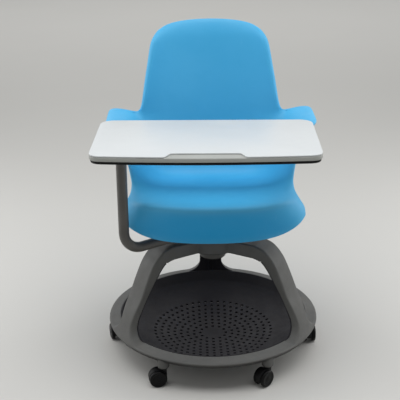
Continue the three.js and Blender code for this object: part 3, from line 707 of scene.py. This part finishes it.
def build_base():
    """Ring, legs, hub and caster sockets, remeshed into one moulding."""
    vertices, faces = [], []

    def gather(part):
        vertices.extend(part[0])
        faces.extend(part[1])

    ring = [(RING_INNER, RING_TOP - 6.5), (267, 88), (272, 84), (272, RING_SKIRT), (275, RING_SKIRT),
            (282.6, 88.8), (282.6, 90.2), (RING_OUTER, 92), (277, 94.3),
            (RING_INNER + 0.5, RING_TOP), (RING_INNER, RING_TOP - 1), (RING_INNER, RING_TOP - 6.5)]
    gather(lathe(ring, 180, start=len(vertices)))
    for angle in LEG_ANGLES.values():
        gather(build_leg(angle, len(vertices)))
    hub = [(0, HUB_BOTTOM), (HUB_RADIUS - 2, HUB_BOTTOM), (HUB_RADIUS, HUB_BOTTOM + 2),
           (HUB_RADIUS, HUB_TOP - 3), (HUB_RADIUS - 3, HUB_TOP), (0, HUB_TOP)]
    gather(lathe(hub, 120, start=len(vertices)))
    for k in range(6):
        turn = math.radians(60 * k)
        centre = (CASTER_CIRCLE * math.cos(turn), CASTER_CIRCLE * math.sin(turn))
        socket = [(0, SOCKET_BOTTOM), (14, SOCKET_BOTTOM), (15, SOCKET_BOTTOM + 1.2), (15.4, 91),
                  (0, 91)]
        gather(lathe(socket, 40, centre, len(vertices)))
    base = make_object("base_moulding", vertices, faces, GREY, "base")
    voxel = 0.0015
    add_modifier(base, "REMESH", mode="VOXEL", voxel_size=voxel, use_smooth_shade=True)
    add_modifier(base, "SMOOTH", factor=0.5, iterations=3)
    stand_for("base_frame")


def build_liner(place, angle):
    """The dark strip on a leg's inner face. It flares towards the tray and carries two thin ribs."""
    rib_place, rib_foot, rib_crest, rib_height = 7, 0.9, 0.7, 2.4
    steps = 7
    inside = smooth_line(LEG_INSIDE, LEG_STEPS)
    foot = RING_TOP + 0.4
    inside = [p for p in inside if p[0] > LINER_START and p[1] > foot]
    inside.append(np.array((251.4, foot)))
    sections = []
    for index, (radius, height) in enumerate(inside):
        before = inside[max(index - 1, 0)]
        after = inside[min(index + 1, len(inside) - 1)]
        along = unit(np.array(after) - np.array(before))
        out = np.array((-along[1], along[0]))
        half = LINER_WIDTH / 2 + flare(height - RING_TOP, LINER_FILLET)
        front = [(-half, 1.0), (-half + 0.3, 0.3)]
        flat = np.linspace(-half + 1.0, -rib_place - rib_foot, steps)[:-1]
        front += [(side, 0) for side in flat]
        for side in (-rib_place, rib_place):
            front += [(side - rib_foot, 0), (side - rib_crest, -rib_height),
                      (side + rib_crest, -rib_height), (side + rib_foot, 0)]
        flat = np.linspace(rib_place + rib_foot, half - 1.0, steps)[1:]
        front += [(side, 0) for side in flat]
        front += [(half - 0.3, 0.3), (half, 1.0)]
        front += [(side, LINER_DEPTH) for side in np.linspace(half, -half, FACE_STEPS + 1)]
        section = []
        for side, depth in front:
            point = np.array((radius, height)) + out * depth
            section.append(on_leg(point[0], side, point[1], angle))
        sections.append(section)
    vertices, faces = loft(sections)
    liner = make_object(f"leg_liner_{place}_strip", vertices, faces, CHARCOAL, "base")
    sharpen(liner)
    stand_for(f"leg_liner_{place}")


def tray_height(radius):
    """Height of the tray floor's upper face at a distance from the axis."""
    return TRAY_CENTRE + TRAY_RISE[0] * radius ** 2 + TRAY_RISE[1] * radius ** 4


def build_tray():
    """The perforated bowl. Its floor is drawn flat with round holes, then lifted onto a curve."""
    points, edges = [], []

    def loop(centre_x, centre_y, radius, count):
        first = len(points)
        for k in range(count):
            turn = 2 * math.pi * k / count
            x = centre_x + radius * math.cos(turn)
            y = centre_y + radius * math.sin(turn)
            points.append(Vector((x, y)))
        edges.extend((first + k, first + (k + 1) % count) for k in range(count))

    rim_count = 192
    floor_radius = TRAY_FLOOR_RADIUS - 5
    loop(0, 0, floor_radius, rim_count)
    holes = []
    for ring in HOLE_RINGS:
        for k in range(6 * ring):
            turn = math.pi / 2 + 2 * math.pi * k / (6 * ring)
            holes.append((HOLE_PITCH * ring * math.cos(turn), HOLE_PITCH * ring * math.sin(turn)))
    for x, y in holes:
        loop(x, y, HOLE_RADIUS, 14)

    # Loose points between the holes keep the triangles small enough to follow the curve.
    for ring in range(13):
        radius = HOLE_PITCH * (ring + 0.5) if ring < 9 else HOLE_PITCH * ring + 9
        if radius < floor_radius - 8:
            count = 6 * (ring + 1)
            for k in range(count):
                turn = math.pi / 2 + 2 * math.pi * (k + 0.5) / count
                points.append(Vector((radius * math.cos(turn), radius * math.sin(turn))))
    flat, _, triangles, _, _, _ = delaunay_2d_cdt(points, edges, [], 1, 1e-6)

    # The triangles that fill a hole are left out.
    centres = np.array(holes)
    kept = []
    for triangle in triangles:
        middle = sum((flat[i] for i in triangle), Vector((0, 0))) / 3
        gap = np.min(np.hypot(centres[:, 0] - middle.x, centres[:, 1] - middle.y))
        if gap > HOLE_RADIUS * 0.97:
            kept.append(triangle)
    count = len(flat)
    upper = [(p.x, p.y, tray_height(p.length)) for p in flat]
    lower = [(p.x, p.y, tray_height(p.length) - TRAY_WALL) for p in flat]
    vertices = upper + lower
    faces = [tuple(t) for t in kept] + [tuple(count + i for i in reversed(t)) for t in kept]

    # An edge that only one triangle has, away from the floor's rim, is a hole's edge and gets a wall.
    seen = {}
    for t in kept:
        for a, b in zip(t, t[1:] + t[:1]):
            seen[(a, b)] = True
    for a, b in seen:
        if (b, a) in seen:
            continue
        if min(flat[a].length, flat[b].length) > floor_radius - 0.5:
            continue
        faces.append((b, a, count + a, count + b))

    # The wall and its flange, from the floor's rim round the lip and back underneath.
    edge = TRAY_FLOOR_RADIUS
    profile = [(floor_radius, tray_height(floor_radius))]
    profile += [(edge - 1.2, tray_height(edge) + 1.2), (RING_INNER - 3, RING_TOP - 0.5),
                (RING_INNER - 2.4, RING_TOP), (RING_INNER - 0.4, RING_TOP), (RING_INNER - 0.4, 91),
                (262, 87.5), (262, 84.5), (RING_INNER - 3, 87.5),
                (edge + 2.5, tray_height(edge) - 1.5)]
    profile.append((floor_radius, tray_height(floor_radius) - TRAY_WALL))
    profile = rounded(profile, 1.4, 4)
    wall = lathe(profile, rim_count, start=len(vertices))
    vertices += wall[0]
    faces += wall[1]
    tray = make_object("storage_tray_bowl", vertices, faces, CHARCOAL, "base")
    sharpen(tray, 40)
    stand_for("storage_tray")


def build_hub_cap():
    low, high = (corner.z for corner in node_box("hub_cap"))
    profile = [(0, low), (31, low), (35, low + 4), (35, high), (32, high), (32, low + 4), (0, low + 4)]
    turned_piece("hub_cap_boss", profile, GREY, "base", "hub_cap")


# ---------------------------------------------------------------- casters

def build_casters():
    for joint in frame["joints"]:
        if joint["name"].endswith("_swivel") and joint["name"].startswith("caster"):
            build_caster(joint)


def build_caster(joint):
    """One twin-wheel caster, drawn upright at the axis and set down at its stem and its axle."""
    name = joint["child"]
    spin = JOINTS[f"{name}_spin_a"]
    stem = (Vector(joint["pos_m"]) - AXIS) / MM
    axle = (Vector(spin["pos_m"]) - AXIS) / MM
    across = Vector(spin["axis"]).normalized()
    trail = Vector((across.y, -across.x, 0))
    turn = Matrix((trail, across, Vector((0, 0, 1)))).transposed().to_4x4()
    place = Matrix.Translation(Vector((stem.x, stem.y, 0))) @ turn

    # The hood: a round web between the wheels, a block that holds the stem and a neck.
    axle_height = FLOOR + WHEEL_RADIUS
    reach = WHEEL_RADIUS + 0.6
    outline = []
    for first, last, count in ((-16, 112, 24), (176, 196, 5)):
        for k in range(count):
            angle = math.radians(first + (last - first) * k / (count - 1))
            x = CASTER_TRAIL + reach * math.cos(angle)
            outline.append((x, axle_height + reach * math.sin(angle)))
        if first < 0:
            outline += [(5, 52.8), (3.5, 53.4), (-6.5, 53.4), (-7.8, 52.2)]
    outline += [(-4, 22.4), (6, 20.6), (24, 20.6)]
    sections = []
    for side, inset in ((-WEB_HALF, 0.9), (-WEB_HALF + 0.5, 0.2), (-WEB_HALF + 1.2, 0),
                        (WEB_HALF - 1.2, 0), (WEB_HALF - 0.5, 0.2), (WEB_HALF, 0.9)):
        middle = Vector((CASTER_TRAIL, axle_height))
        section = []
        for x, z in outline:
            away = Vector((x, z)) - middle
            moved = middle + away * (1 - inset / away.length)
            section.append((moved.x, side, moved.y))
        sections.append(section)
    web = loft(sections)
    neck_profile = [(0, 52.4), (10.5, 52.4), (10.5, 54.5), (8.6, 56.8), (0, 56.8)]
    neck = lathe(rounded(neck_profile, 0.9), 40, start=len(web[0]))
    vertices = [tuple(place @ Vector(v)) for v in web[0] + neck[0]]
    hood = make_object(f"{name}_hood_cover", vertices, web[1] + neck[1], BLACK, name)
    sharpen(hood)
    stand_for(f"{name}_hood")

    for label, side in (("a", 1), ("b", -1)):
        near, far = WEB_HALF + 0.3, WEB_HALF + 0.3 + WHEEL_WIDTH
        profile = [(0, far - 3), (4.3, far - 3), (4.3, near), (21, near), (WHEEL_RADIUS, near + 1.6),
                   (WHEEL_RADIUS, far - 2.8), (20.3, far - 0.3), (17.8, far), (16.8, far - 0.8),
                   (7.4, far - 1), (6.2, far - 0.1), (0, far)]
        disc = lathe(rounded(profile, 1.2), 56)
        lay = Matrix.Rotation(-side * math.pi / 2, 4, "X")
        wheel_place = Matrix.Translation(axle) @ turn @ lay
        points = [tuple(wheel_place @ Vector(v)) for v in disc[0]]
        wheel = make_object(f"{name}_wheel_{label}_tread", points, disc[1], WHEEL, f"{name}_wheel_{label}")
        sharpen(wheel)
        stand_for(f"{name}_wheel_{label}")


# ---------------------------------------------------------------- arm and worksurface

def build_arm():
    """The bent tube, swept as one skin, and the collar that it is welded to."""
    out = Vector((math.cos(ARM_ANGLE), math.sin(ARM_ANGLE), 0))
    side = Vector((-out.y, out.x, 0))
    bend_start, bend_steps, sides = ARM_REACH - ARM_BEND, 16, 48
    stations = [(ARM_START, 0, 0.0), (bend_start, 0, 0.0)]
    for k in range(1, bend_steps + 1):
        turn = math.pi / 2 * k / bend_steps
        reach = bend_start + ARM_BEND * math.sin(turn)
        stations.append((reach, ARM_BEND * (1 - math.cos(turn)), turn))
    stations.append((ARM_REACH, POST_TOP - ARM_HEIGHT, math.pi / 2))
    sections = []
    for reach, rise, turn in stations:
        normal = Vector((0, 0, 1)) * math.cos(turn) - out * math.sin(turn)
        centre = out * reach + Vector((0, 0, ARM_HEIGHT + rise))
        section = []
        for k in range(sides):
            angle = 2 * math.pi * k / sides
            across = side * ARM_RADIUS * math.cos(angle)
            over = normal * ARM_RADIUS * math.sin(angle)
            section.append(centre + across + over)
        sections.append(section)
    tube = loft(sections)
    low, high = ARM_HEIGHT - ARM_RADIUS, ARM_HEIGHT + ARM_RADIUS
    profile = [(COLLAR_BORE, low), (COLLAR_RADIUS, low), (COLLAR_RADIUS, high), (COLLAR_BORE, high),
               (COLLAR_BORE, low)]
    collar = lathe(rounded(profile, 1.5), 64, start=len(tube[0]))
    arm = make_object("arm_tube", tube[0] + collar[0], tube[1] + collar[1], ARM_PAINT, "arm")
    sharpen(arm)
    stand_for("arm")


def build_post_sleeve():
    """The bush in the top of the post, with a flange that rests on the post's end."""
    low, high = POST_TOP + 0.3, POST_TOP + 2.3
    profile = [(SLEEVE_BORE, SLEEVE_BOTTOM), (9.7, SLEEVE_BOTTOM), (9.7, low), (ARM_RADIUS, low),
               (ARM_RADIUS, high), (SLEEVE_BORE, high), (SLEEVE_BORE, SLEEVE_BOTTOM)]
    turned_piece("post_sleeve_bush", profile, BLACK, "arm", "post_sleeve", (POST.x, POST.y), 40, 0.4)


def quadratic(a, b, c, steps):
    """Points of a quadratic curve after its first point a. It leaves a towards b and ends at c."""
    a, b, c = (np.array(p, float) for p in (a, b, c))
    times = np.linspace(0, 1, steps + 1)[1:]
    return [tuple((1 - t) ** 2 * a + 2 * t * (1 - t) * b + t * t * c) for t in times]


def board_outline(inset, with_grip):
    """The worksurface's plan, anticlockwise from its front left corner."""
    x = WORK_WIDTH / 2 - inset
    y = WORK_DEPTH / 2 - inset
    corner = WORK_CORNER - inset
    points = [(-x + corner, -y)]
    if with_grip:
        bow = WORK_BOW - 1.2
        front, shelf = -y - bow, -y - bow + 27
        points += quadratic(points[-1], (-150, -y - bow * 0.85), (-98, front + 0.1), 12)
        points += quadratic(points[-1], (-94, front), (-91, front + 4), 4)
        points += quadratic((-83, front + 21), (-81, shelf), (-74, shelf), 5)
        points += quadratic((74, shelf), (81, shelf), (83, front + 21), 5)
        points += [(91, front + 4)] + quadratic((91, front + 4), (94, front), (98, front + 0.1), 4)
        points += quadratic(points[-1], (150, -y - bow * 0.85), (x - corner, -y), 12)
    else:
        points += quadratic(points[-1], (0, -y - 2 * WORK_BOW), (x - corner, -y), 40)
    points += quadratic(points[-1], (x, -y + 1), (x, -y + corner), 12)
    for centre_x, centre_y, first in ((x - corner, y - corner, 0), (-x + corner, y - corner, 90)):
        for k in range(13):
            turn = math.radians(first + 90 * k / 12)
            points.append((centre_x + corner * math.cos(turn), centre_y + corner * math.sin(turn)))
    points += [(-x, -y + corner)] + quadratic((-x, -y + corner), (-x, -y + 1), (-x + corner, -y), 12)[:-1]
    return points


def build_worksurface():
    """Three stacked plates: the white board, the grey rim and the dark pan below it."""
    place = Matrix.Translation((*WORK_CENTRE, WORK_TOP)) @ Matrix.Rotation(WORK_TURN, 4, "Z")
    plates = (
        ("worksurface_board", board_outline(0.4, True), -BOARD_THICKNESS, 0, 1.3,
         WHITE, "worksurface_top", "board_white"),
        ("worksurface_edge", board_outline(0, False), RIM_BOTTOM, -BOARD_THICKNESS - 0.05, 2.4,
         RIM, "worksurface_rim", "rim_grey"),
        ("worksurface_pan", board_outline(3, False), PAN_BOTTOM, RIM_BOTTOM - 0.1, 2.0,
         BLACK, "worksurface_underplate", "black_plastic"),
    )
    for name, outline, low, high, edge, material, node, slot in plates:
        piece = plate_piece(name, outline, low, high, edge, material, "worksurface", place)
        stand_for(node)
        sharpen(piece, 30)


# ---------------------------------------------------------------- carried-over CAD nodes

def dress_cad_nodes():
    """Gives every CAD node that still shows its finish. Carrier and bracket get rounded edges."""
    finishes = {"bright_steel": STEEL, "bearing_plastic": ACETAL, "black_plastic": BLACK,
                "black_paint": BLACK_PAINT}
    slots = {part["node"]: part["material_slot"] for part in frame["record"]["subparts"]}
    for node, piece in frame["nodes"].items():
        if piece.hide_render:
            continue
        piece.data.materials.clear()
        piece.data.materials.append(finishes[slots[node]])
        if node in ("seat_carrier", "pivot_bracket"):
            add_modifier(piece, "BEVEL", width=0.0012, segments=3, limit_method="ANGLE",
                         angle_limit=math.radians(40))


# ---------------------------------------------------------------- stage

def build_floor():
    floor = bpy.data.meshes.new("floor")
    size = 14.0
    corners = [(-size, -size, 0), (size, -size, 0), (size, size, 0), (-size, size, 0)]
    floor.from_pydata(corners, [], [(0, 1, 2, 3)])
    ground = bpy.data.objects.new("floor", floor)
    bpy.context.scene.collection.objects.link(ground)
    n = Nodes("pale_floor")
    colour = n.mix(n.math("MULTIPLY", n.noise(1.5, 3), 0.3), srgb(196, 195, 192), srgb(186, 185, 182))
    ground.data.materials.append(n.finish(colour, 0.7, specular=0.2))


def build_world():
    world = bpy.data.worlds.new("studio")
    bpy.context.scene.world = world
    world.use_nodes = True
    background = world.node_tree.nodes["Background"]
    background.inputs["Color"].default_value = srgb(206, 207, 206)
    background.inputs["Strength"].default_value = 0.62
    bpy.context.scene.view_settings.view_transform = "Standard"


def area_lamp(name, place, aim, width, depth, power):
    light = bpy.data.lights.new(name, "AREA")
    light.shape = "RECTANGLE"
    light.size = width
    light.size_y = depth
    light.energy = power
    lamp = bpy.data.objects.new(name, light)
    lamp.location = place
    lamp.rotation_euler = (Vector(aim) - Vector(place)).to_track_quat("-Z", "Y").to_euler()
    bpy.context.scene.collection.objects.link(lamp)
    return lamp


def build_lamps():
    """A soft room light: the ceiling, a window at each side and the far part of the room."""
    area_lamp("ceiling", (0.0, -0.65, 2.9), (0, -0.5, 0.4), 3.4, 1.5, 56)
    area_lamp("left_window", (-1.9, 0.5, 1.0), (0, 0.0, 0.55), 1.6, 1.5, 17)
    area_lamp("right_window", (1.9, 0.5, 1.0), (0, 0.0, 0.55), 1.6, 1.5, 17)

    # These two look straight down. An aim a hair off plumb settles where their long side lies.
    # The fill hangs under the worksurface and lights the middle of the seat.
    area_lamp("far_ceiling", (0.0, 5.2, 3.2), (0, 5.2001, 0), 8.0, 4.0, 120)
    fill = area_lamp("seat_fill", (0.0, -0.135, 0.594), (0, -0.1351, 0), 0.34, 0.15, 0.27)
    fill.visible_camera = False
    fill.visible_glossy = False


def build_camera():
    """A view from the front, 2.3 m from the swivel axis, looking 21 degrees down."""
    yaw, pitch, roll = -0.011, 0.366, -0.010
    level_reach = math.cos(pitch)
    forward = Vector((-math.sin(yaw) * level_reach, math.cos(yaw) * level_reach, -math.sin(pitch)))
    level = Vector((math.cos(yaw), math.sin(yaw), 0))
    up = level.cross(forward)
    right = level * math.cos(roll) + up * math.sin(roll)
    above = up * math.cos(roll) - level * math.sin(roll)
    stand = Vector((-0.0575, -2.277, 1.2926))
    lens = bpy.data.cameras.new("camera")
    lens.sensor_width = 36
    lens.lens = 83.72
    camera = bpy.data.objects.new("camera", lens)
    turn = Matrix((right, above, -forward)).transposed().to_4x4()
    camera.matrix_world = Matrix.Translation(stand + AXIS) @ turn
    bpy.context.scene.collection.objects.link(camera)
    bpy.context.scene.camera = camera


build_shell()
build_base()
for place, angle in LEG_ANGLES.items():
    build_liner(place, angle)
build_tray()
build_hub_cap()
build_casters()
build_arm()
build_post_sleeve()
build_worksurface()
dress_cad_nodes()
build_floor()
build_world()
build_lamps()
build_camera()
